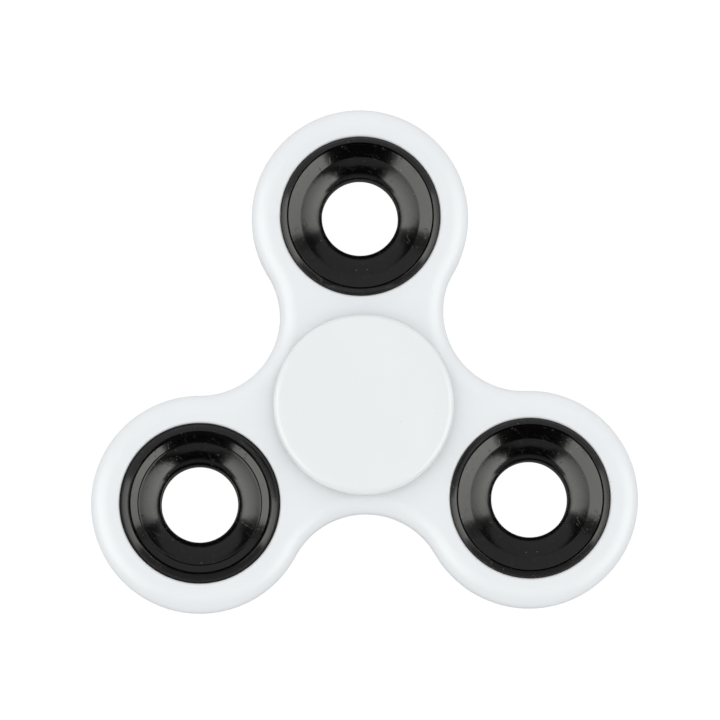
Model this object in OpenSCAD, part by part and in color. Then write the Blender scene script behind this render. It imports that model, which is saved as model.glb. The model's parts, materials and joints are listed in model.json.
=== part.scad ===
// Three-armed fidget spinner. The moulded body turns on a 608 ball bearing. A ring
// weight is pressed into the end of each arm. Two finger caps, pressed together
// through the bearing, stay still between finger and thumb while the rest spins.
// Millimetres. The origin is the middle of the bearing, and +Z is the spin axis.

/* [Body] */
// Distance from the spin axis to the middle of each weight
arm_l = 26.1; // [25.7:0.1:28]
// Radius of the round end of each arm
lobe_r = 14.9; // [14:0.1:16]
// Distance from the spin axis to the hollow between two arms
waist_r = 14.65; // [14.2:0.05:15.5]
// Thickness of the body
body_t = 7.6; // [7.2:0.1:9]
// Rounding of the body's outer edges
edge_r = 2.4; // [1:0.1:3]
// Lead-in chamfer at both mouths of each seat
seat_chamfer = 0.3; // [0.1:0.05:0.5]

/* [Weights] */
// Outer diameter of a ring weight, which is also its seat's
weight_od = 22; // [20:0.1:22.5]
// Diameter of the hole through a weight
weight_bore = 10.5; // [8:0.1:10.7]
// Height of a weight from ridge to ridge
weight_h = 8.7; // [8:0.1:10]

/* [Finger caps] */
// Diameter of a finger cap
cap_d = 24.7; // [20:0.1:25]
// Height over both caps
total_h = 12.6; // [11.8:0.1:14]
// Thickness of a cap's disc
cap_t = 1.8; // [1.4:0.1:2]
// Depth of the dish that the fingertip rests in
dish_depth = 0.35; // [0.1:0.05:0.5]
// Diameter of the dish
dish_d = 20.4; // [14:0.1:20.6]
// Diameter of the pin that joins the two caps
pin_d = 4; // [3:0.1:5]

/* [Bearing] */
// Bore diameter of the bearing
bearing_bore = 8; // [7.8:0.1:8.2]
// Outer diameter of the bearing
bearing_od = 22; // [21.8:0.1:22.2]
// Width of the bearing
bearing_w = 7; // [6.8:0.1:7.2]
// Number of balls
ball_n = 7; // [5:1:7]
// Diameter of a ball
ball_d = 3.969; // [3.5:0.001:3.969]
// Diameter of the circle that the balls' middles run on
pitch_d = 15; // [14.9:0.01:15.1]

/* [Hidden] */
$fn = 96;
eps = 0.5; // how far a cutter runs past the face it cuts
arm_angles = [90, 210, 330];

// The hollow between two arms is an arc that meets both arm ends without a corner.
lobe_past_waist = lobe_r - waist_r;
hollow_c = (pow(arm_l, 2) - pow(lobe_past_waist, 2)) / (arm_l + 2 * lobe_past_waist);
hollow_r = hollow_c - waist_r;
hollow_turn = acos((pow(hollow_c, 2) + pow(hollow_r + lobe_r, 2) - pow(arm_l, 2))
                   / (2 * hollow_c * (hollow_r + lobe_r)));
lobe_turn = 120 - hollow_turn;
lobe_steps = 30;
hollow_steps = 12;
edge_steps = 5;

// A weight's face, from the barrel to the bore.
weight_bevel_slope = 42;
weight_cone_slope = 32;
weight_roll_r = 4.82;
weight_roll_from = 8;
weight_roll_to = 46;
weight_lip = 0.32;

// The races' shoulders, and the grooves that the balls run in.
ball_gap = 0.015;
groove_r = ball_d / 2 + 0.065;
inner_land_r = 6.05;
outer_land_r = 9.15;
race_chamfer = 0.3;
shield_seat_r = 9.6;
shield_seat_z = 2.6;

// The cage is two pressed rings, riveted together between the balls.
cage_t = 0.3;
cage_in_r = 6.45;
cage_out_r = 8.55;
pocket_r = ball_d / 2 + 0.1;
rivet_r = 0.3;
rivet_head_r = 0.55;
rivet_head_h = 0.25;

// Each shield is a pressed washer, kept in its seat by an open wire ring.
shield_t = 0.25;
shield_in_r = 6.2;
shield_out_r = 9.5;
shield_step = 0.35;
clip_wire_r = 0.2;
clip_gap_turn = 28;

// A cap's stem fills the bearing's bore, and its shoulder sits on the inner race.
stem_r = bearing_bore / 2;
boss_r = 5.6;
cap_rim_r = 0.9;
cap_under_r = 0.4;
stem_gap = 0.6;
pin_reach = 3;

// Point at distance r and angle a from the point c.
function polar(c, r, a) = c + r * [cos(a), sin(a)];

// The body's outline, drawn in by the given amount: the round end of each arm, then
// the hollow that follows it.
function outline(inset) =
    [for (a = arm_angles) each concat(
        [for (i = [0:lobe_steps])
            polar(polar([0, 0], arm_l, a), lobe_r - inset,
                  a + (180 - lobe_turn) * (2 * i / lobe_steps - 1))],
        [for (i = [1:hollow_steps - 1])
            polar(polar([0, 0], hollow_c, a + 60), hollow_r + inset,
                  a + 240 + hollow_turn * (1 - 2 * i / hollow_steps))])];

// The body without its seats. Each level is the outline, drawn in as the edge rounds over.
module blank() {
    low = [for (i = [0:edge_steps])
        let (turn = 90 * i / edge_steps)
        [edge_r * (1 - sin(turn)), edge_r * (1 - cos(turn)) - body_t / 2]];
    levels = concat(low, [for (i = [edge_steps:-1:0]) [low[i][0], -low[i][1]]]);
    n = len(outline(0));
    last = len(levels) - 1;
    points = [for (level = levels) each [for (p = outline(level[0])) [p[0], p[1], level[1]]]];
    sides = [for (k = [0:last - 1]) each [for (i = [0:n - 1])
        let (j = (i + 1) % n)
        [k * n + i, (k + 1) * n + i, (k + 1) * n + j, k * n + j]]];
    ends = [for (i = [0:n - 1]) each
        let (j = (i + 1) % n)
        [[len(points), i, j], [len(points) + 1, last * n + j, last * n + i]]];
    polyhedron(concat(points, [[0, 0, -body_t / 2], [0, 0, body_t / 2]]), concat(sides, ends));
}

// Cutter for a seat with a lead-in chamfer at both mouths.
module seat(r) {
    face = body_t / 2;
    rotate_extrude()
        polygon([[0, -face - eps], [r + seat_chamfer + eps, -face - eps],
                 [r, seat_chamfer - face], [r, face - seat_chamfer],
                 [r + seat_chamfer + eps, face + eps], [0, face + eps]]);
}

module body() {
    color("white")
        difference() {
            blank();
            seat(bearing_od / 2);
            for (a = arm_angles)
                rotate([0, 0, a])
                    translate([arm_l, 0, 0])
                        seat(weight_od / 2);
        }
}

// One face of a weight, from the barrel in to the bore: a bevel and a ridge of the given
// widths, a step of the given width and depth, a cone that ends at a radius, and a
// rounded shelf that rolls into the bore.
function weight_face(bevel_w, ridge_w, step_w, step, cone_in_r) =
    let (ridge_r = weight_od / 2 - bevel_w,
         step_in_r = ridge_r - ridge_w - step_w,
         cone_z = weight_h / 2 - step - (step_in_r - cone_in_r) * tan(weight_cone_slope),
         roll_x = cone_in_r + weight_roll_r * sin(weight_roll_from),
         roll_z = cone_z - weight_roll_r * cos(weight_roll_from),
         roll_step = (weight_roll_to - weight_roll_from) / 6)
    concat([[weight_od / 2, weight_h / 2 - bevel_w * tan(weight_bevel_slope)],
            [ridge_r, weight_h / 2], [ridge_r - ridge_w, weight_h / 2],
            [step_in_r, weight_h / 2 - step]],
           [for (a = [weight_roll_from:roll_step:weight_roll_to + 0.01])
               [roll_x - weight_roll_r * sin(a), roll_z + weight_roll_r * cos(a)]]);

// A ring weight has a shallow step inside the ridge on one face and a deep one on the other.
module weight() {
    shallow = weight_face(bevel_w = 0.86, ridge_w = 0.05, step_w = 0.21, step = 0.115, cone_in_r = 8.2);
    deep = weight_face(bevel_w = 1.12, ridge_w = 0.08, step_w = 0.33, step = 0.8, cone_in_r = 8.3);
    last = len(deep) - 1;
    bore_r = weight_bore / 2;
    color("#111214")
        rotate_extrude()
            polygon(concat(
                shallow, [[bore_r, shallow[last][1] - weight_lip]],
                [[bore_r, weight_lip - deep[last][1]]],
                [for (i = [last:-1:0]) [deep[i][0], -deep[i][1]]]));
}

// The second arm's weight is pressed in with its deep face up.
module weight_at(i) {
    rotate([0, 0, arm_angles[i]])
        translate([arm_l, 0, 0])
            rotate([i == 1 ? 180 : 0, 0, 0])
                weight();
}

module weight_1() { weight_at(0); }
module weight_2() { weight_at(1); }
module weight_3() { weight_at(2); }

// Section of a plain race, chamfered where it meets its housing or stem.
module race_section(r_in, r_out, chamfered) {
    half = bearing_w / 2;
    c = race_chamfer;
    intersection() {
        translate([r_in, -half])
            square([r_out - r_in, bearing_w]);
        polygon(chamfered == "outside"
            ? [[0, -half], [r_out - c, -half], [r_out, c - half],
               [r_out, half - c], [r_out - c, half], [0, half]]
            : [[r_in + c, -half], [r_out + c, -half], [r_out + c, half],
               [r_in + c, half], [r_in, half - c], [r_in, c - half]]);
    }
}

module bearing_outer_race() {
    color("#8f9396")
        rotate_extrude()
            difference() {
                race_section(outer_land_r, bearing_od / 2, "outside");
                translate([pitch_d / 2 + ball_d / 2 + ball_gap - groove_r, 0])
                    circle(groove_r);
                for (side = [0, 1])
                    mirror([0, side]) {
                        translate([0, shield_seat_z])
                            square([shield_seat_r, bearing_w]);
                        translate([shield_seat_r, shield_seat_z + shield_t + clip_wire_r + 0.02])
                            circle(clip_wire_r + 0.05);
                    }
            }
}

module bearing_inner_race() {
    color("#9b9ea1")
        rotate_extrude()
            difference() {
                race_section(bearing_bore / 2, inner_land_r, "inside");
                translate([pitch_d / 2 - ball_d / 2 - ball_gap + groove_r, 0])
                    circle(groove_r);
            }
}

// Puts its children at ball number i, counted from +X.
module at_ball(i) {
    rotate([0, 0, i * 360 / ball_n])
        translate([pitch_d / 2, 0, 0])
            children();
}

module ball(i) {
    color("#c9ccd0")
        at_ball(i - 1)
            sphere(d = ball_d);
}

// The upper half of the cage: a flat ring pressed into a dome over each ball.
module cage_half() {
    dome_r = pocket_r + cage_t;
    color("#9d9a90")
        difference() {
            intersection() {
                union() {
                    cylinder(r = cage_out_r, h = cage_t);
                    for (i = [0:ball_n - 1])
                        at_ball(i)
                            sphere(dome_r);
                }
                difference() {
                    cylinder(r = cage_out_r, h = dome_r + eps);
                    translate([0, 0, -eps])
                        cylinder(r = cage_in_r, h = dome_r + 3 * eps);
                }
            }
            for (i = [0:ball_n - 1]) {
                at_ball(i)
                    sphere(pocket_r);
                at_ball(i + 0.5)
                    cylinder(r = rivet_r, h = 3 * cage_t, center = true);
            }
        }
}

module cage_upper() { cage_half(); }
module cage_lower() { mirror([0, 0, 1]) cage_half(); }

module cage_rivets() {
    color("#8f9396")
        for (i = [0:ball_n - 1])
            at_ball(i + 0.5) {
                cylinder(r = rivet_r, h = 2 * cage_t, center = true);
                for (side = [0, 1])
                    mirror([0, 0, side])
                        translate([0, 0, cage_t])
                            cylinder(r = rivet_head_r, h = rivet_head_h);
            }
}

// A pressed washer that steps outwards over the cage and clears the inner race.
module shield() {
    flat_in_r = shield_out_r - 0.6;
    step_in_r = flat_in_r - shield_step;
    color("#a8abae")
        translate([0, 0, shield_seat_z])
            rotate_extrude()
                polygon([[shield_out_r, 0], [flat_in_r, 0], [step_in_r, shield_step],
                         [shield_in_r, shield_step], [shield_in_r, shield_step + shield_t],
                         [step_in_r - 0.1, shield_step + shield_t],
                         [flat_in_r - 0.1, shield_t], [shield_out_r, shield_t]]);
}

module shield_top() { shield(); }
module shield_bottom() { mirror([0, 0, 1]) shield(); }

// An open ring of wire that springs into the groove above the shield.
module shield_clip() {
    color("#8f9396")
        rotate([0, 0, clip_gap_turn / 2])
            rotate_extrude(angle = 360 - clip_gap_turn)
                translate([shield_seat_r, shield_seat_z + shield_t + clip_wire_r + 0.02])
                    circle(clip_wire_r);
}

module shield_clip_top() { shield_clip(); }
module shield_clip_bottom() { mirror([0, 0, 1]) shield_clip(); }

// The disc, shoulder and stem that both caps share, for the upper side.
module cap_blank() {
    top = total_h / 2;
    under = top - cap_t;
    rim_x = cap_d / 2 - cap_rim_r;
    dish_ball_r = (pow(dish_d / 2, 2) + pow(dish_depth, 2)) / (2 * dish_depth);
    rotate_extrude()
        difference() {
            union() {
                translate([0, under])
                    square([rim_x, cap_t]);
                translate([0, under + cap_under_r])
                    square([cap_d / 2, cap_t - cap_under_r - cap_rim_r]);
                translate([rim_x, top - cap_rim_r])
                    circle(cap_rim_r);
                translate([cap_d / 2 - cap_under_r, under + cap_under_r])
                    circle(cap_under_r);
                translate([0, bearing_w / 2])
                    square([boss_r, under - bearing_w / 2 + eps]);
                translate([0, stem_gap / 2])
                    square([stem_r, under - stem_gap / 2 + eps]);
            }
            translate([0, top - dish_depth + dish_ball_r])
                circle(dish_ball_r, $fn = 720);
            translate([-cap_d, -total_h])
                square([cap_d, 2 * total_h]);
        }
}

// The upper cap's stem is a socket for the lower cap's pin.
module cap_top() {
    color("white")
        difference() {
            cap_blank();
            cylinder(r = pin_d / 2, h = pin_reach + eps);
        }
}

module cap_bottom() {
    color("white") {
        mirror([0, 0, 1])
            cap_blank();
        translate([0, 0, -stem_gap])
            cylinder(r = pin_d / 2, h = stem_gap + pin_reach);
    }
}

body();
weight_1();
weight_2();
weight_3();
bearing_outer_race();
bearing_inner_race();
for (i = [1:ball_n])
    ball(i);
cage_upper();
cage_lower();
cage_rivets();
shield_top();
shield_bottom();
shield_clip_top();
shield_clip_bottom();
cap_top();
cap_bottom();
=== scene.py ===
import json
import math

import bmesh
import bpy
from mathutils import Matrix, Vector

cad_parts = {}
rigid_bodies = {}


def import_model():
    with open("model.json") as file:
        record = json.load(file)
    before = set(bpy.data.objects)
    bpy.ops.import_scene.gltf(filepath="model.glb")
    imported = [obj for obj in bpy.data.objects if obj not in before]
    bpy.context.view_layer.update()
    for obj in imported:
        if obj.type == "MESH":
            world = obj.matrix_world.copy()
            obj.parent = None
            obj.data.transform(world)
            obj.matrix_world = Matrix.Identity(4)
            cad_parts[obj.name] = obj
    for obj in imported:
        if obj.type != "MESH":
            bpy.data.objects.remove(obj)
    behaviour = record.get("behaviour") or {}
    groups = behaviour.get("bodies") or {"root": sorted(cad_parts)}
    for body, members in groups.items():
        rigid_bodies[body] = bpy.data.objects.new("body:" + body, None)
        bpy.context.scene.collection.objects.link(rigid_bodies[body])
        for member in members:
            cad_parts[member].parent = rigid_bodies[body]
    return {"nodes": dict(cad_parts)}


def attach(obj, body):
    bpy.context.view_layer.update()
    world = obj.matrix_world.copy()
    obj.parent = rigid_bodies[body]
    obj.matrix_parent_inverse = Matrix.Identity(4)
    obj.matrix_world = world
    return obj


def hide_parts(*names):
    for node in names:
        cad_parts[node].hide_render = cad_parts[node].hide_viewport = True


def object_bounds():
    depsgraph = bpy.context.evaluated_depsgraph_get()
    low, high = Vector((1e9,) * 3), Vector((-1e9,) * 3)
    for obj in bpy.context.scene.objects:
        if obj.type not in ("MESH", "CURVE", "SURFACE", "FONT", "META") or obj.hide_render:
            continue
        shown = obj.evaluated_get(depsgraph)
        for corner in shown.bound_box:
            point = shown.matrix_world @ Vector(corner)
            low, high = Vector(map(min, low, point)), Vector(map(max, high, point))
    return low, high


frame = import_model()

cad_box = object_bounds()

# ---------------------------------------------------------------------------
# Body: one solid moulding of white ABS with three arms, rounded edges and a
# fine parting line round the middle of its side. A ring is pressed into each
# of its four seats: a weight in each arm, and the bearing in the middle.
# ---------------------------------------------------------------------------
MM = 0.001
MERGE = 0.002 * MM
FULL_TURN = 2 * math.pi
THIRD_TURN = FULL_TURN / 3
SMOOTH_BELOW = math.radians(30)

ARM_LENGTH = 26.1
ARM_TURNS = [math.radians(a) for a in (90, 210, 330)]
ARM_END_RADIUS = 14.9
WAIST_RADIUS = 14.65
BODY_HALF = 3.8
BODY_EDGE = 2.4
PARTING_DEPTH = 0.04
FLAT_MARGIN = 0.1
SEAT_RADIUS = 11.0
SEAT_EDGE = 0.3


def at_turn(turn, radius, height=0.0):
    """A point in metres, from a turn about the spin axis and a radius and height in mm."""
    return Vector((radius * math.cos(turn), radius * math.sin(turn), height)) * MM


def start_piece(name):
    """Opens a new, empty piece in edit mode."""
    bpy.ops.object.select_all(action="DESELECT")
    bpy.ops.mesh.primitive_plane_add(size=MM)
    piece = bpy.context.object
    piece.name = piece.data.name = name
    bpy.ops.object.mode_set(mode="EDIT")
    bpy.ops.mesh.select_all(action="SELECT")
    bpy.ops.mesh.delete(type="VERT")
    bpy.ops.mesh.select_mode(type="VERT")
    return piece


def draw_section(points, centre=Vector(), turn=0.0):
    """Draws a line through (radius, height) points in mm, in the upright plane through a centre at a turn."""
    places = [centre + at_turn(turn, r, z) for r, z in points]
    bpy.ops.mesh.select_all(action="DESELECT")
    bpy.ops.mesh.primitive_plane_add(size=MM, location=places[0])
    bpy.ops.mesh.merge(type="CENTER")
    for here, there in zip(places, places[1:]):
        bpy.ops.mesh.extrude_vertices_move(TRANSFORM_OT_translate={"value": there - here})
    bpy.ops.mesh.select_linked()


def spin_section(steps, turn=FULL_TURN, centre=Vector()):
    """Sweeps the drawn line about an upright axis, counter-clockwise from above."""
    bpy.ops.mesh.spin(steps=steps, angle=-turn, center=centre, axis=(0, 0, 1))


def close_shell():
    """Merges the open piece's seams, turns every face outwards and smooths what isn't an edge."""
    bpy.ops.mesh.select_all(action="SELECT")
    bpy.ops.mesh.remove_doubles(threshold=MERGE)
    bpy.ops.mesh.normals_make_consistent(inside=False)
    bpy.ops.object.mode_set(mode="OBJECT")
    bpy.ops.object.shade_smooth_by_angle(angle=SMOOTH_BELOW)


def arc(middle_r, middle_z, radius, start, end, steps):
    """Points of an arc in a section, from one angle to another in degrees, both ends included."""
    angles = [math.radians(start + (end - start) * i / steps) for i in range(steps + 1)]
    return [(middle_r + radius * math.cos(a), middle_z + radius * math.sin(a)) for a in angles]


arm_middles = [at_turn(turn, ARM_LENGTH) for turn in ARM_TURNS]
hollow_depth = ARM_END_RADIUS - WAIST_RADIUS
hollow_distance = (ARM_LENGTH ** 2 - hollow_depth ** 2) / (ARM_LENGTH + 2 * hollow_depth)
hollow_radius = hollow_distance - WAIST_RADIUS
reach = hollow_radius + ARM_END_RADIUS
hollow_half = math.acos((hollow_distance ** 2 + reach ** 2 - ARM_LENGTH ** 2) / (2 * hollow_distance * reach))
arm_end_half = THIRD_TURN / 2 + hollow_half

# The side's section, as (distance in from the outline, height), from the upper flat to the lower one.
upper_round = arc(BODY_EDGE, BODY_HALF - BODY_EDGE, BODY_EDGE, 90, 180, 14)
side = [(BODY_EDGE + FLAT_MARGIN, BODY_HALF)] + upper_round + [(0, PARTING_DEPTH), (PARTING_DEPTH, 0)]
side += [(inset, -height) for inset, height in reversed(side[:-1])]

body = start_piece("spinner_body")
for turn, middle in zip(ARM_TURNS, arm_middles):
    draw_section([(ARM_END_RADIUS - inset, z) for inset, z in side], middle, turn - arm_end_half)
    spin_section(120, 2 * arm_end_half, middle)
    hollow_turn = turn + THIRD_TURN / 2
    hollow_middle = at_turn(hollow_turn, hollow_distance)
    hollow_start = hollow_turn + math.pi - hollow_half
    draw_section([(hollow_radius + inset, z) for inset, z in side], hollow_middle, hollow_start)
    spin_section(60, 2 * hollow_half, hollow_middle)

seat_round = arc(SEAT_RADIUS + SEAT_EDGE, BODY_HALF - SEAT_EDGE, SEAT_EDGE, 90, 180, 4)
seat = [(SEAT_RADIUS + SEAT_EDGE + FLAT_MARGIN, BODY_HALF)] + seat_round
seat += [(r, -z) for r, z in reversed(seat)]
for middle in [Vector()] + arm_middles:
    draw_section(seat, middle)
    spin_section(144, FULL_TURN, middle)

bpy.ops.mesh.select_all(action="SELECT")
bpy.ops.mesh.remove_doubles(threshold=MERGE)
bpy.ops.mesh.select_mode(type="EDGE")
flat_level = (BODY_HALF - 0.01) * MM
for flat in (1, -1):
    bpy.ops.mesh.select_all(action="DESELECT")
    mesh = bmesh.from_edit_mesh(body.data)
    for edge in mesh.edges:
        if edge.is_boundary and all(v.co.z * flat > flat_level for v in edge.verts):
            edge.select = True
    mesh.select_flush_mode()
    bmesh.update_edit_mesh(body.data)
    bpy.ops.mesh.fill(use_beauty=True)
close_shell()


def wire(tree, kind, into=None, **settings):
    """Adds a shader node, sets it up, and feeds its inputs from values or from other nodes' outputs."""
    made = tree.nodes.new("ShaderNode" + kind)
    for setting, value in settings.items():
        setattr(made, setting, value)
    for socket, value in (into or {}).items():
        if isinstance(value, bpy.types.NodeSocket):
            tree.links.new(value, made.inputs[socket])
        else:
            made.inputs[socket].default_value = value
    return made


def reckon(tree, operation, *numbers, clamp=False):
    """One sum on values or sockets."""
    return wire(tree, "Math", dict(enumerate(numbers)), operation=operation, use_clamp=clamp).outputs[0]


def ramp(tree, value, low, high, bottom=0.0, top=1.0):
    """Takes a value from low..high smoothly to bottom..top."""
    into = {"Value": value, "From Min": low, "From Max": high, "To Min": bottom, "To Max": top}
    return wire(tree, "MapRange", into, interpolation_type="SMOOTHSTEP").outputs["Result"]


def tint(tree, share, under, over):
    """Lays one colour over another by a share."""
    into = {"Factor": share}
    made = wire(tree, "Mix", into, data_type="RGBA")
    for socket, colour in ((6, under), (7, over)):
        if isinstance(colour, bpy.types.NodeSocket):
            tree.links.new(colour, made.inputs[socket])
        else:
            made.inputs[socket].default_value = (*colour, 1)
    return made.outputs[2]


def start_group(name, takes, gives):
    """Opens a node group. takes maps each input to its value and gives names the outputs."""
    group = bpy.data.node_groups.new(name, "ShaderNodeTree")
    for label, value in takes.items():
        kind = "NodeSocketVector" if value is None else "NodeSocketFloat"
        socket = group.interface.new_socket(label, in_out="INPUT", socket_type=kind)
        if value is not None:
            socket.default_value = value
    for label in gives:
        group.interface.new_socket(label, in_out="OUTPUT", socket_type="NodeSocketFloat")
    return group, group.nodes.new("NodeGroupInput").outputs, group.nodes.new("NodeGroupOutput").inputs


# Specks: dust, pits or chips, thinly scattered over a surface, each of its own size.
specks, takes, gives = start_group(
    "specks", {"Place": None, "Spacing mm": 2.0, "Size mm": 0.1, "Share": 0.5}, ["Mask"])
per_metre = reckon(specks, "DIVIDE", 1 / MM, takes["Spacing mm"])
cells = wire(specks, "TexVoronoi", {"Vector": takes["Place"], "Scale": per_metre})
chosen = wire(specks, "SeparateColor", {"Color": cells.outputs["Color"]}).outputs
kept = reckon(specks, "LESS_THAN", chosen["Red"], takes["Share"])
size = reckon(specks, "DIVIDE", takes["Size mm"], takes["Spacing mm"])
size = reckon(specks, "MULTIPLY", size, reckon(specks, "MULTIPLY_ADD", chosen["Green"], 0.9, 0.25))
finer = reckon(specks, "MULTIPLY", per_metre, 6.0)
wobble = wire(specks, "TexNoise", {"Vector": takes["Place"], "Scale": finer, "Detail": 2.0})
size = reckon(specks, "MULTIPLY", size, reckon(specks, "ADD", wobble.outputs["Fac"], 0.5))
spot = ramp(specks, reckon(specks, "DIVIDE", cells.outputs["Distance"], size), 1.0, 0.6)
specks.links.new(reckon(specks, "MULTIPLY", spot, kept), gives["Mask"])

# Hairlines: fine straight scratches left by keys and nails, in broken patches.
hairlines, takes, gives = start_group(
    "hairlines", {"Place": None, "Spacing mm": 3.0, "Width mm": 0.02, "Share": 0.4, "Slant": 0.5}, ["Mask"])
slanted = wire(hairlines, "VectorRotate", {"Vector": takes["Place"], "Angle": takes["Slant"]},
               rotation_type="Z_AXIS").outputs[0]
stretched = wire(hairlines, "VectorMath", {0: slanted, 1: (0.12, 1.0, 1.0)}, operation="MULTIPLY").outputs[0]
per_metre = reckon(hairlines, "DIVIDE", 1 / MM, takes["Spacing mm"])
edges = wire(hairlines, "TexVoronoi", {"Vector": stretched, "Scale": per_metre}, feature="DISTANCE_TO_EDGE")
width = reckon(hairlines, "DIVIDE", takes["Width mm"], takes["Spacing mm"])
line = ramp(hairlines, reckon(hairlines, "DIVIDE", edges.outputs["Distance"], width), 1.0, 0.3)
finer = reckon(hairlines, "MULTIPLY", per_metre, 1.6)
patches = wire(hairlines, "TexNoise", {"Vector": takes["Place"], "Scale": finer, "Detail": 3.0})
there = ramp(hairlines, reckon(hairlines, "ADD", patches.outputs["Fac"], takes["Share"]), 0.95, 1.05)
hairlines.links.new(reckon(hairlines, "MULTIPLY", line, there), gives["Mask"])

# Moulded skin: the faint grain of a fine-sparked mould, and the slow change of tone of thick plastic.
skin, takes, gives = start_group("moulded_skin", {"Place": None, "Grain mm": 0.15}, ["Height", "Tone"])
per_metre = reckon(skin, "DIVIDE", 1 / MM, takes["Grain mm"])
grain = wire(skin, "TexNoise",
             {"Vector": takes["Place"], "Scale": per_metre, "Detail": 2.0, "Roughness": 0.6})
slow = wire(skin, "TexNoise", {"Vector": takes["Place"], "Scale": 0.12 / MM, "Detail": 3.0})
skin.links.new(grain.outputs["Fac"], gives["Height"])
skin.links.new(slow.outputs["Fac"], gives["Tone"])


def place_on(tree, group, **values):
    """Places a node group in a material. An underscore in a value's name stands for a space."""
    into = {label.replace("_", " "): value for label, value in values.items()}
    return wire(tree, "Group", into, node_tree=group).outputs


def new_finish(name):
    """Opens a material with an empty tree. Gives its tree and the piece's own place, about the origin."""
    material = bpy.data.materials.new(name)
    material.use_nodes = True
    material.node_tree.nodes.clear()
    tree = material.node_tree
    return material, tree, wire(tree, "TexCoord").outputs["Object"]


def set_shader(tree, **sockets):
    """Adds the Principled shader and the output. An underscore in a socket's name stands for a space."""
    into = {label.replace("_", " "): value for label, value in sockets.items()}
    shader = wire(tree, "BsdfPrincipled", into)
    wire(tree, "OutputMaterial", {"Surface": shader.outputs[0]})
    return shader


def wear_finish(piece, material):
    """Gives a piece one finish all over."""
    piece.data.materials.clear()
    piece.data.materials.append(material)


GREY_DUST = (0.30, 0.29, 0.27)


def white_plastic(name, colour, shade, roughness, slant):
    """White ABS: satin with a faint grain, a few specks of dust and dull rubbed hairlines."""
    material, tree, place = new_finish(name)
    surface = place_on(tree, skin, Place=place, Grain_mm=0.16)
    tone = ramp(tree, surface["Tone"], 0.35, 0.65)
    colour = tint(tree, tone, shade, colour)
    dust = place_on(tree, specks, Place=place, Spacing_mm=1.2, Size_mm=0.09, Share=0.22)["Mask"]
    colour = tint(tree, reckon(tree, "MULTIPLY", dust, 0.35), colour, GREY_DUST)
    rubbed = place_on(tree, hairlines, Place=place, Spacing_mm=3.5, Width_mm=0.03, Share=0.32, Slant=slant)
    rubbed = rubbed["Mask"]
    rough = reckon(tree, "MULTIPLY_ADD", surface["Height"], 0.12, roughness - 0.06)
    rough = reckon(tree, "MULTIPLY_ADD", rubbed, 0.15, rough)
    height = reckon(tree, "MULTIPLY_ADD", rubbed, -1.5, surface["Height"])
    bump = wire(tree, "Bump", {"Strength": 0.35, "Distance": 0.006 * MM, "Height": height})
    set_shader(tree, Base_Color=colour, Roughness=rough, Normal=bump.outputs[0], IOR=1.5)
    return material


wear_finish(body, white_plastic("white_abs_body", (0.835, 0.862, 0.878), (0.82, 0.85, 0.868), 0.36, 0.4))
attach(body, "rotor")
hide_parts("body")

# ---------------------------------------------------------------------------
# Weights: three turned steel rings, stoved in gloss black, pressed into the
# arms. Each face has an outer bevel, rubbed and given a painted sheen, a sharp
# ridge, a cone and a rolled shelf. The cone is shallow on one face, and lies deeper on the other.
# ---------------------------------------------------------------------------
WEIGHT_BORE = 5.25
RIDGE_HEIGHT = 4.35
BEVEL_SLOPE = math.radians(42)
BEVEL_SWELL = 0.02
BEVEL_STEPS = 6
CONE_SLOPE = math.radians(32)
ROLL_RADIUS = 4.82
ROLL_START = math.radians(8)
ROLL_END = math.radians(46)
ROLL_STEPS = 12
LIP_LEAN = 0.07
LIP_BREAK = 0.03
LIP_DROPS = (0.10, 0.20, 0.32)


def weight_face(ridge, groove_foot, cone_top, cone_foot, groove=()):
    """A weight's upper face from the barrel to the bore: bevel, ridge, cone, rolled shelf and lip."""
    bevel_width = SEAT_RADIUS - ridge[0][0]
    bevel_foot = RIDGE_HEIGHT - bevel_width * math.tan(BEVEL_SLOPE)
    bevel = []
    for i in range(1, BEVEL_STEPS):
        share = i / BEVEL_STEPS
        swell = BEVEL_SWELL * math.sin(math.pi * share)
        bevel.append((SEAT_RADIUS - bevel_width * share + swell,
                      bevel_foot + (RIDGE_HEIGHT - bevel_foot) * share + swell))
    fall = math.tan(CONE_SLOPE)
    cone = [(r, cone_top[1] - (cone_top[0] - r) * fall - depth) for r, depth in groove + ((cone_foot, 0),)]
    slopes = [ROLL_START + (ROLL_END - ROLL_START) * i / ROLL_STEPS for i in range(ROLL_STEPS + 1)]
    start_r, start_z = cone[-1]
    roll = [(start_r - ROLL_RADIUS * (math.sin(s) - math.sin(ROLL_START)),
             start_z - ROLL_RADIUS * (math.cos(ROLL_START) - math.cos(s))) for s in slopes]
    lip_r, lip_z = roll[-1]
    lip_radii = (lip_r - LIP_LEAN, WEIGHT_BORE + LIP_BREAK, WEIGHT_BORE)
    lip = [(r, lip_z - drop) for r, drop in zip(lip_radii, LIP_DROPS)]
    return [(SEAT_RADIUS, bevel_foot)] + bevel + ridge + groove_foot + [cone_top] + cone[:-1] + roll + lip


shallow = weight_face([(10.14, RIDGE_HEIGHT), (10.09, RIDGE_HEIGHT)], [(9.98, 4.10)], (9.88, 4.235), 8.2)
deep = weight_face([(9.88, RIDGE_HEIGHT), (9.80, RIDGE_HEIGHT)], [], (9.47, 3.55), 8.3,
                   groove=((8.52, 0), (8.45, 0.10), (8.38, 0)))
weight_section = shallow + [(r, -z) for r, z in reversed(deep)]
weight_section += weight_section[:1]

weight = start_piece("weight_upper")
draw_section(weight_section, arm_middles[0])
spin_section(192, FULL_TURN, arm_middles[0])
close_shell()


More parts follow.
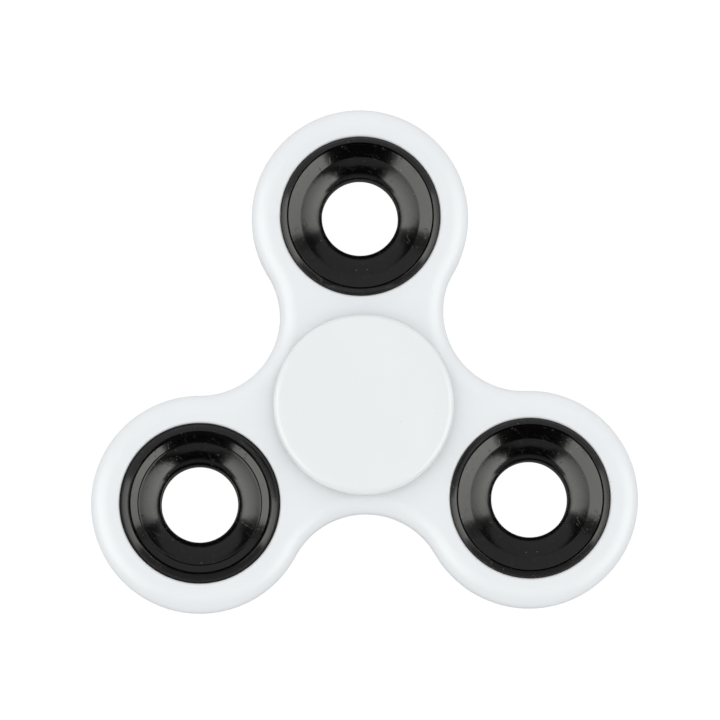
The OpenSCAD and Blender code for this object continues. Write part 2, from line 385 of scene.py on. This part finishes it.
def ease_edges(piece, width, angle=20):
    """Breaks a piece's sharp edges, as a file or a tumbler does."""
    bpy.ops.object.select_all(action="DESELECT")
    piece.select_set(True)
    bpy.context.view_layer.objects.active = piece
    bpy.ops.object.modifier_add(type="BEVEL")
    broken = piece.modifiers[-1]
    broken.width, broken.segments = width * MM, 2
    broken.limit_method, broken.angle_limit = "ANGLE", math.radians(angle)
    bpy.ops.object.modifier_apply(modifier=broken.name)
    bpy.ops.object.shade_smooth_by_angle(angle=math.radians(40))


def copy_piece(piece, name, move=Vector(), turn=0.0, flip_about=None):
    """A copy with its own mesh, turned about the spin axis, turned over about a point, then moved."""
    bpy.ops.object.select_all(action="DESELECT")
    piece.select_set(True)
    bpy.context.view_layer.objects.active = piece
    bpy.ops.object.duplicate(linked=False)
    copied = bpy.context.object
    copied.name = copied.data.name = name
    bpy.ops.object.mode_set(mode="EDIT")
    bpy.ops.mesh.select_all(action="SELECT")
    if turn:
        bpy.ops.transform.rotate(value=-turn, orient_axis="Z", center_override=(0, 0, 0))
    if flip_about is not None:
        bpy.ops.transform.rotate(value=math.pi, orient_axis="X", center_override=flip_about)
    if move.length:
        bpy.ops.transform.translate(value=move)
    bpy.ops.object.mode_set(mode="OBJECT")
    return copied


ease_edges(weight, 0.02)
weights = {"weight_1": weight}
weights["weight_2"] = copy_piece(weight, "weight_left", turn=THIRD_TURN, flip_about=arm_middles[1])
weights["weight_3"] = copy_piece(weight, "weight_right", turn=-THIRD_TURN)

# Rings: fine lines round an axis, as a lathe tool or a running fingertip leaves them.
rings, takes, gives = start_group(
    "turned_rings", {"Place": None, "Pitch mm": 0.1}, ["Height", "Streak", "Radius mm"])
across = wire(rings, "SeparateXYZ", {"Vector": takes["Place"]}).outputs
radius = reckon(rings, "SQRT", reckon(rings, "ADD", reckon(rings, "MULTIPLY", across["X"], across["X"]),
                                      reckon(rings, "MULTIPLY", across["Y"], across["Y"])))
radius = reckon(rings, "DIVIDE", radius, MM)
drift = wire(rings, "VectorMath", {0: takes["Place"], 1: (0.25 / MM,) * 3}, operation="MULTIPLY").outputs[0]
drift = wire(rings, "SeparateXYZ", {"Vector": drift}).outputs
pitches = reckon(rings, "DIVIDE", radius, takes["Pitch mm"])
along = wire(rings, "CombineXYZ", {"X": drift["X"], "Y": drift["Y"], "Z": pitches})
streaks = wire(rings, "TexNoise", {"Vector": along.outputs[0], "Scale": 1.0, "Detail": 2.0, "Roughness": 0.7})
rings.links.new(streaks.outputs["Fac"], gives["Height"])
rings.links.new(ramp(rings, streaks.outputs["Fac"], 0.62, 0.72), gives["Streak"])
rings.links.new(radius, gives["Radius mm"])

BLACK_STOVING = (0.0008, 0.0008, 0.0009)
# Brownish tone of the outer bevel: rubbed wear, and a painted sheen where light catches that edge.
RUBBED_BROWN_AND_SHEEN = (0.0075, 0.0045, 0.0035)
LIGHT_DUST = (0.13, 0.125, 0.12)
BARED_STEEL = (0.045, 0.043, 0.040)


def black_lacquer(name, middle):
    """Gloss black stoving on steel. The proud outer bevel is brownish, most towards its foot: partly rubbed
    thin, and partly a painted sheen where light catches that edge. The rest has pits, dust and a few rubbed
    lines that run round the ring."""
    material, tree, place = new_finish(name)
    own = wire(tree, "Mapping", {"Vector": place, "Location": -middle}).outputs[0]
    turned_marks = place_on(tree, rings, Place=own, Pitch_mm=0.09)
    radius, streak = turned_marks["Radius mm"], turned_marks["Streak"]
    # Painted sheen and wear: the outer bevel turns brownish towards its foot, where light catches the edge.
    rubbed = ramp(tree, radius, 10.2, 10.9)
    mottle = wire(tree, "TexNoise", {"Vector": own, "Scale": 1.4 / MM, "Detail": 5.0, "Roughness": 0.65})
    mottle = mottle.outputs["Fac"]
    rubbed = reckon(tree, "MULTIPLY", rubbed, ramp(tree, mottle, 0.3, 0.6, 0.55, 1.0))
    colour = tint(tree, rubbed, BLACK_STOVING, RUBBED_BROWN_AND_SHEEN)
    dust = place_on(tree, specks, Place=own, Spacing_mm=0.8, Size_mm=0.12, Share=0.30)["Mask"]
    colour = tint(tree, reckon(tree, "MULTIPLY", dust, 0.5), colour, LIGHT_DUST)
    pits = place_on(tree, specks, Place=own, Spacing_mm=0.62, Size_mm=0.22, Share=0.40)["Mask"]
    pits = reckon(tree, "MULTIPLY", pits, ramp(tree, mottle, 0.48, 0.56))
    lines = place_on(tree, hairlines, Place=own, Spacing_mm=1.4, Width_mm=0.055, Share=0.44, Slant=0.9)
    lines = lines["Mask"]
    marks = reckon(tree, "ADD", reckon(tree, "MULTIPLY", streak, 0.35), lines, clamp=True)
    bared = reckon(tree, "MULTIPLY", reckon(tree, "MAXIMUM", lines, pits), 0.14)
    colour = tint(tree, bared, colour, BARED_STEEL)
    rough = reckon(tree, "MULTIPLY_ADD", mottle, 0.10, 0.10)
    rough = reckon(tree, "MULTIPLY_ADD", rubbed, 0.05, rough)
    in_bore = ramp(tree, radius, 5.45, 5.3)
    rough = reckon(tree, "MULTIPLY_ADD", in_bore, 0.6, rough)
    rough = reckon(tree, "MULTIPLY_ADD", marks, 0.12, rough)
    peel = wire(tree, "TexNoise", {"Vector": own, "Scale": 0.9 / MM, "Detail": 1.0}).outputs["Fac"]
    height = reckon(tree, "MULTIPLY_ADD", pits, -1.0, reckon(tree, "MULTIPLY", peel, 0.9))
    height = reckon(tree, "MULTIPLY_ADD", marks, -0.45, height)
    bump = wire(tree, "Bump", {"Strength": 0.5, "Distance": 0.02 * MM, "Height": height})
    set_shader(tree, Base_Color=colour, Roughness=rough, Normal=bump.outputs[0], IOR=1.5)
    return material


for (node, piece), middle in zip(weights.items(), arm_middles):
    wear_finish(piece, black_lacquer(piece.name + "_black", middle))
    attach(piece, "rotor")
    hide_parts(node)

# ---------------------------------------------------------------------------
# Bearing races: two hardened and ground steel rings of a 608 ball bearing. The
# outer one is pressed into the body's middle seat, with a recess each side for
# a shield and its clip. The inner one is held between the caps' shoulders.
# ---------------------------------------------------------------------------
RACE_HALF = 3.5
RACE_CHAMFER = 0.3
RACE_EDGE = 0.04
GROOVE_RADIUS = 2.0495
OUTER_GROOVE_MIDDLE = 7.45
OUTER_LAND = 9.15
OUTER_RECESS = 9.6
INNER_GROOVE_MIDDLE = 7.55
INNER_LAND = 6.05
INNER_BORE = 4.0
SHIELD_SEAT = 2.6
CLIP_SEAT = (OUTER_RECESS, 3.07)
CLIP_SEAT_RADIUS = 0.25


def groove(middle_r, land_r, side_angle):
    """Points of a ball groove from one edge to the other. side_angle is where its floor lies, in degrees."""
    half = math.degrees(math.acos(abs(land_r - middle_r) / GROOVE_RADIUS))
    return arc(middle_r, 0, GROOVE_RADIUS, side_angle + half, side_angle - half, 16)


outer_upper = [(SEAT_RADIUS, 0), (SEAT_RADIUS, RACE_HALF - RACE_CHAMFER)]
outer_upper += [(SEAT_RADIUS - RACE_CHAMFER, RACE_HALF), (OUTER_RECESS, RACE_HALF)]
outer_upper += arc(*CLIP_SEAT, CLIP_SEAT_RADIUS, 90, -90, 8)
outer_upper += [(OUTER_RECESS, SHIELD_SEAT), (OUTER_LAND, SHIELD_SEAT)]
outer_groove = groove(OUTER_GROOVE_MIDDLE, OUTER_LAND, 0)
outer_section = outer_upper[1:] + outer_groove + [(r, -z) for r, z in reversed(outer_upper)]
outer_race = start_piece("bearing_outer_ring")
draw_section(outer_section + outer_section[:1])
spin_section(128)
close_shell()
ease_edges(outer_race, RACE_EDGE)

inner_groove = groove(INNER_GROOVE_MIDDLE, INNER_LAND, 180)[::-1]
inner_upper = [(INNER_BORE, 0), (INNER_BORE, RACE_HALF - RACE_CHAMFER)]
inner_upper += [(INNER_BORE + RACE_CHAMFER, RACE_HALF), (INNER_LAND, RACE_HALF)]
inner_section = inner_upper[1:] + inner_groove + [(r, -z) for r, z in reversed(inner_upper)]
inner_race = start_piece("bearing_inner_ring")
draw_section(inner_section + inner_section[:1])
spin_section(96)
close_shell()
ease_edges(inner_race, RACE_EDGE)

OIL_STAIN = (0.86, 0.81, 0.72)
DARK_DIRT = (0.05, 0.045, 0.04)


def bright_steel(name, colour, roughness, pitch, depth):
    """Bare steel with fine lines round the axis, a thin film of oil and a few dark specks."""
    material, tree, place = new_finish(name)
    turned_marks = place_on(tree, rings, Place=place, Pitch_mm=pitch)
    film = wire(tree, "TexNoise", {"Vector": place, "Scale": 0.35 / MM, "Detail": 4.0}).outputs["Fac"]
    oily = tuple(level * stain for level, stain in zip(colour, OIL_STAIN))
    stained = tint(tree, ramp(tree, film, 0.5, 0.75), colour, oily)
    dirt = place_on(tree, specks, Place=place, Spacing_mm=0.9, Size_mm=0.07, Share=0.3)["Mask"]
    stained = tint(tree, reckon(tree, "MULTIPLY", dirt, 0.6), stained, DARK_DIRT)
    rough = reckon(tree, "MULTIPLY_ADD", turned_marks["Height"], 0.16, roughness - 0.08)
    rough = reckon(tree, "MULTIPLY_ADD", dirt, 0.3, rough)
    bump = wire(tree, "Bump", {"Strength": 0.4, "Distance": depth * MM, "Height": turned_marks["Height"]})
    set_shader(tree, Base_Color=stained, Roughness=rough, Normal=bump.outputs[0], Metallic=1.0)
    return material


ground_steel = bright_steel("ground_race_steel", (0.60, 0.61, 0.63), 0.24, 0.05, 0.002)
races = ((outer_race, "bearing_outer_race", "rotor"), (inner_race, "bearing_inner_race", "hub"))
for piece, node, rides_on in races:
    wear_finish(piece, ground_steel)
    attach(piece, rides_on)
    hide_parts(node)

# ---------------------------------------------------------------------------
# Balls: seven balls of chrome steel, ground and lapped to a polish. They roll
# between the races, and the cage keeps them apart.
# ---------------------------------------------------------------------------
BALL_COUNT = 7
BALL_DIAMETER = 3.969
PITCH_RADIUS = 7.5

bpy.ops.object.select_all(action="DESELECT")
bpy.ops.mesh.primitive_cube_add(size=BALL_DIAMETER * MM)
ball = bpy.context.object
ball.name = ball.data.name = "ball_one"
bpy.ops.object.mode_set(mode="EDIT")
bpy.ops.mesh.select_all(action="SELECT")
bpy.ops.mesh.subdivide(number_cuts=15)
bpy.ops.object.mode_set(mode="OBJECT")
bpy.ops.object.modifier_add(type="CAST")
rounding = ball.modifiers[-1]
rounding.use_radius_as_size = False
rounding.factor, rounding.radius, rounding.size = 1.0, 0.0, BALL_DIAMETER / 2 * MM
bpy.ops.object.modifier_apply(modifier=rounding.name)
bpy.ops.object.mode_set(mode="EDIT")
bpy.ops.mesh.select_all(action="SELECT")
bpy.ops.transform.translate(value=at_turn(0, PITCH_RADIUS))
bpy.ops.object.mode_set(mode="OBJECT")
bpy.ops.object.shade_smooth()

polished = bright_steel("polished_ball_steel", (0.66, 0.67, 0.69), 0.14, 0.3, 0.001)
for i in range(BALL_COUNT):
    turned = ball if i == 0 else copy_piece(ball, f"ball_no_{i + 1}", turn=FULL_TURN * i / BALL_COUNT)
    wear_finish(turned, polished)
    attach(turned, f"ball_{i + 1}")
    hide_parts(f"ball_{i + 1}")

# ---------------------------------------------------------------------------
# Cage: two halves pressed from thin steel strip, with a pocket round each ball,
# joined between the balls by seven small rivets. The pressed shapes come from
# the design, and only their finish is made here.
# ---------------------------------------------------------------------------
pressed_steel = bright_steel("pressed_cage_steel", (0.50, 0.50, 0.50), 0.34, 0.4, 0.003)
for node in ("cage_upper", "cage_lower", "cage_rivets"):
    frame["nodes"][node].material_slots[0].material = pressed_steel

# ---------------------------------------------------------------------------
# Shields and clips: a thin stepped washer, pressed from plated steel, covers
# each side of the bearing. An open ring of spring wire holds it in its recess.
# ---------------------------------------------------------------------------
SHIELD_STEPS = [(9.5, 0), (8.9, 0), (8.55, 0.35), (6.2, 0.35),
                (6.2, 0.6), (8.45, 0.6), (8.8, 0.25), (9.5, 0.25)]
CLIP_WIRE = 0.2
CLIP_GAP = math.radians(28)

shield = start_piece("bearing_shield_upper")
shield_section = [(r, SHIELD_SEAT + z) for r, z in SHIELD_STEPS]
draw_section(shield_section + shield_section[:1])
spin_section(128)
close_shell()
ease_edges(shield, 0.05)

clip = start_piece("shield_clip_wire_upper")
draw_section(arc(*CLIP_SEAT, CLIP_WIRE, 0, 360, 16), turn=CLIP_GAP / 2)
spin_section(112, FULL_TURN - CLIP_GAP)
bpy.ops.mesh.select_all(action="SELECT")
bpy.ops.mesh.remove_doubles(threshold=MERGE)
bpy.ops.mesh.select_all(action="DESELECT")
bpy.ops.mesh.select_mode(type="EDGE")
bpy.ops.mesh.select_non_manifold(extend=False)
bpy.ops.mesh.fill()
close_shell()
ease_edges(clip, 0.04, angle=50)

shield_steel = bright_steel("zinc_plated_shield", (0.55, 0.56, 0.58), 0.30, 0.12, 0.003)
spring_wire = bright_steel("spring_wire_steel", (0.42, 0.42, 0.43), 0.28, 0.2, 0.001)
covers = ((shield, "shield", "shield_steel", shield_steel), (clip, "shield_clip", "clip_wire", spring_wire))
for piece, node, slot, finish in covers:
    below = copy_piece(piece, piece.name.replace("upper", "lower"), flip_about=Vector())
    for made, side_name in ((piece, "top"), (below, "bottom")):
        wear_finish(made, finish)
        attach(made, "rotor")
        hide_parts(f"{node}_{side_name}")

# ---------------------------------------------------------------------------
# Finger caps: two round buttons of white ABS with a shallow dish for the
# fingertip. The lower one's pin is pushed into the upper one's stem through
# the bearing, and their shoulders hold the inner race.
# ---------------------------------------------------------------------------
CAP_RADIUS = 12.35
CAP_TOP = 6.3
CAP_UNDER = 4.5
DISH_RADIUS = 10.2
DISH_DEPTH = 0.35
CAP_ROUND = 0.9
CAP_UNDER_ROUND = 0.4
BOSS_RADIUS = 5.6
STEM_RADIUS = 4.0
STEM_END = 0.3
PIN_RADIUS = 2.0
PIN_TOP = 3.0
CAP_EDGE = 0.05

dish_sphere = (DISH_RADIUS ** 2 + DISH_DEPTH ** 2) / (2 * DISH_DEPTH)
dish_half = math.degrees(math.asin(DISH_RADIUS / dish_sphere))
dish = arc(0, CAP_TOP - DISH_DEPTH + dish_sphere, dish_sphere, -90, -90 + dish_half, 16)
button = dish + arc(CAP_RADIUS - CAP_ROUND, CAP_TOP - CAP_ROUND, CAP_ROUND, 90, 0, 10)
button += arc(CAP_RADIUS - CAP_UNDER_ROUND, CAP_UNDER + CAP_UNDER_ROUND, CAP_UNDER_ROUND, 0, -90, 6)
button += [(BOSS_RADIUS, CAP_UNDER), (BOSS_RADIUS, RACE_HALF)]
button += [(STEM_RADIUS, RACE_HALF), (STEM_RADIUS, STEM_END)]

cap_upper = start_piece("finger_cap_upper")
draw_section(button + [(PIN_RADIUS, STEM_END), (PIN_RADIUS, RACE_HALF), (0, RACE_HALF)])
spin_section(192)
close_shell()
ease_edges(cap_upper, CAP_EDGE, angle=50)

cap_lower = start_piece("finger_cap_lower")
draw_section([(r, -z) for r, z in button] + [(PIN_RADIUS, -STEM_END), (PIN_RADIUS, PIN_TOP), (0, PIN_TOP)])
spin_section(192)
close_shell()
ease_edges(cap_lower, CAP_EDGE, angle=50)

cap_finish = white_plastic("white_abs_cap", (0.825, 0.860, 0.865), (0.815, 0.85, 0.858), 0.30, 1.3)
for piece, node in ((cap_upper, "cap_top"), (cap_lower, "cap_bottom")):
    wear_finish(piece, cap_finish)
    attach(piece, "hub")
    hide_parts(node)

# ---------------------------------------------------------------------------
# Studio: a plain white floor under the lower cap, a soft box at each side, a
# dim wall behind, a faint lamp overhead and the dark of the room in front. An
# even fill lights what is matt, a little stronger from the upper left.
# ---------------------------------------------------------------------------
FLOOR_WIDTH = 4.0
FLOOR_SEEN = 0.98
FLOOR_BOUNCE = 0.72
FLOOR_GLOSS = 0.35

bpy.ops.object.select_all(action="DESELECT")
bpy.ops.mesh.primitive_plane_add(size=FLOOR_WIDTH, location=(0, 0, cad_box[0].z))
floor = bpy.context.object
floor.name = "studio_floor"
bpy.ops.object.transform_apply(location=True)
paper, tree, place = new_finish("white_paper")
fibre = wire(tree, "TexNoise", {"Vector": place, "Scale": 0.8 / MM, "Detail": 2.0}).outputs["Fac"]
matt = tint(tree, fibre, (0.06, 0.06, 0.06), (0.08, 0.08, 0.08))
diffuse = wire(tree, "BsdfDiffuse", {"Color": matt})
path = wire(tree, "LightPath").outputs
bright = reckon(tree, "MULTIPLY_ADD", path["Is Camera Ray"], FLOOR_SEEN - FLOOR_BOUNCE, FLOOR_BOUNCE)
bright = reckon(tree, "MULTIPLY_ADD", path["Is Glossy Ray"], FLOOR_GLOSS - FLOOR_BOUNCE, bright)
glow = wire(tree, "Emission", {"Color": (1, 1, 1, 1), "Strength": bright})
both = wire(tree, "AddShader", {0: diffuse.outputs[0], 1: glow.outputs[0]})
wire(tree, "OutputMaterial", {"Surface": both.outputs[0]})
wear_finish(floor, paper)

FILL = 1.025
FILL_SLANT = 0.045
BACK_WALL = 0.50
BACK_WALL_SLANT = -0.05
BACK_WALL_SLOPE = 0.30
BACK_WALL_STARTS = (0.32, 0.29)       # on the left and on the right, as in all the pairs below
WALL_ENDS = 0.24
OVERHEAD = 0.38
ROOM = 0.02
TABLE = 0.32
BOX_LEVELS = (1.20, 1.15)
BOX_SLANTS = (0.0, -0.35)
BOX_SLOPES = (-1.8, -3.2)
BOX_STARTS = (0.20, 0.86)
BOX_LOW_CUTS = (0.80, 1.30)
BOX_COLOUR = (1.0, 1.0, 0.95)

world = bpy.data.worlds.new("studio_light")
bpy.context.scene.world = world
world.use_nodes = True
world.cycles.sampling_method = "NONE"
tree = world.node_tree
tree.nodes.clear()
toward = wire(tree, "SeparateXYZ", {"Vector": wire(tree, "TexCoord").outputs["Generated"]}).outputs
sideways = reckon(tree, "ABSOLUTE", toward["X"])
spread = reckon(tree, "SUBTRACT", 1.0, reckon(tree, "MULTIPLY", toward["Z"], toward["Z"]))
level_part = reckon(tree, "SQRT", reckon(tree, "MAXIMUM", spread, 0.0))
on_right = ramp(tree, toward["X"], -0.05, 0.05)
low_down = ramp(tree, toward["Z"], 0.44, 0.32)


def beyond(slope, offset, soft):
    """How far a direction lies behind a straight edge of a panel, softly from 0 to 1."""
    edge = reckon(tree, "MULTIPLY_ADD", sideways, slope, offset)
    return ramp(tree, reckon(tree, "SUBTRACT", toward["Y"], edge), -soft, soft)


def lay(light, share, level):
    """Lays a level of light over what is there, by a share."""
    kept = reckon(tree, "MULTIPLY", light, reckon(tree, "SUBTRACT", 1.0, share))
    return reckon(tree, "ADD", kept, reckon(tree, "MULTIPLY", share, level))


def by_side(left, right):
    """A value that differs from the left half of the studio to the right one."""
    return reckon(tree, "MULTIPLY_ADD", on_right, right - left, left)


wall = beyond(BACK_WALL_SLOPE, by_side(*BACK_WALL_STARTS), 0.06)
light = reckon(tree, "MULTIPLY", wall, reckon(tree, "MULTIPLY_ADD", toward["X"], BACK_WALL_SLANT, BACK_WALL))
ends = reckon(tree, "MULTIPLY", ramp(tree, sideways, 0.52, 0.78), ramp(tree, toward["Y"], 0.0, 0.15))
table = reckon(tree, "MULTIPLY_ADD", low_down, TABLE, ROOM)
light = reckon(tree, "MAXIMUM", light, reckon(tree, "MULTIPLY_ADD", ends, WALL_ENDS, table))
overhead = reckon(tree, "MULTIPLY", ramp(tree, toward["Y"], -0.64, -0.54), ramp(tree, sideways, 0.24, 0.17))
overhead = reckon(tree, "MULTIPLY", overhead, ramp(tree, toward["Y"], 0.05, -0.10))
light = lay(light, overhead, OVERHEAD)
front_edge = reckon(tree, "MULTIPLY_ADD", low_down, by_side(*BOX_LOW_CUTS), by_side(*BOX_STARTS))
in_box = reckon(tree, "MULTIPLY", beyond(by_side(*BOX_SLOPES), front_edge, 0.10),
                reckon(tree, "SUBTRACT", 1.0, beyond(0.40, 0.02, 0.05)))
slanted = reckon(tree, "MULTIPLY_ADD", toward["Y"], by_side(*BOX_SLANTS), by_side(*BOX_LEVELS))
side_level = reckon(tree, "MULTIPLY", reckon(tree, "MULTIPLY_ADD", level_part, 2.2, 1.0), slanted)
side_level = reckon(tree, "MULTIPLY", side_level, ramp(tree, toward["Z"], -0.05, 0.42, 0.30, 1.0))
light = lay(light, in_box, side_level)
path = wire(tree, "LightPath").outputs
fill = reckon(tree, "MULTIPLY_ADD", reckon(tree, "SUBTRACT", toward["Y"], toward["X"]), FILL_SLANT, FILL)
light = lay(light, path["Is Diffuse Ray"], fill)
light = lay(light, path["Is Camera Ray"], 1.0)
warmth = tint(tree, reckon(tree, "MULTIPLY", path["Is Glossy Ray"], in_box), (1, 1, 1), BOX_COLOUR)
shine = wire(tree, "Background", {"Color": warmth, "Strength": light})
wire(tree, "OutputWorld", {"Surface": shine.outputs[0]})

# Camera: almost straight above, a little towards the lower arms, with a long lens.
CAMERA_AZIMUTH = math.radians(12.6)
CAMERA_ELEVATION = math.radians(84.77)
CAMERA_ROLL = math.radians(-11.7)
CAMERA_DISTANCE = 839 * MM
CAMERA_AIM = Vector((-0.302, 6.584, 0)) * MM
FRAME_WIDTH = 99.09 * MM

back = Vector((-math.sin(CAMERA_AZIMUTH) * math.cos(CAMERA_ELEVATION),
               -math.cos(CAMERA_AZIMUTH) * math.cos(CAMERA_ELEVATION), math.sin(CAMERA_ELEVATION)))
level = Vector((0, 0, 1)).cross(back).normalized()
upright = back.cross(level)
right = math.cos(CAMERA_ROLL) * level - math.sin(CAMERA_ROLL) * upright
up = math.sin(CAMERA_ROLL) * level + math.cos(CAMERA_ROLL) * upright
lens = bpy.data.cameras.new("studio_camera")
lens.sensor_width = 36
lens.lens = lens.sensor_width * CAMERA_DISTANCE / FRAME_WIDTH
lens.clip_start, lens.clip_end = 0.01, 20
camera = bpy.data.objects.new("studio_camera", lens)
bpy.context.collection.objects.link(camera)
camera.location = CAMERA_AIM + back * CAMERA_DISTANCE
camera.rotation_euler = Matrix((right, up, back)).transposed().to_euler()
bpy.context.scene.camera = camera
bpy.context.scene.view_settings.view_transform = "Standard"
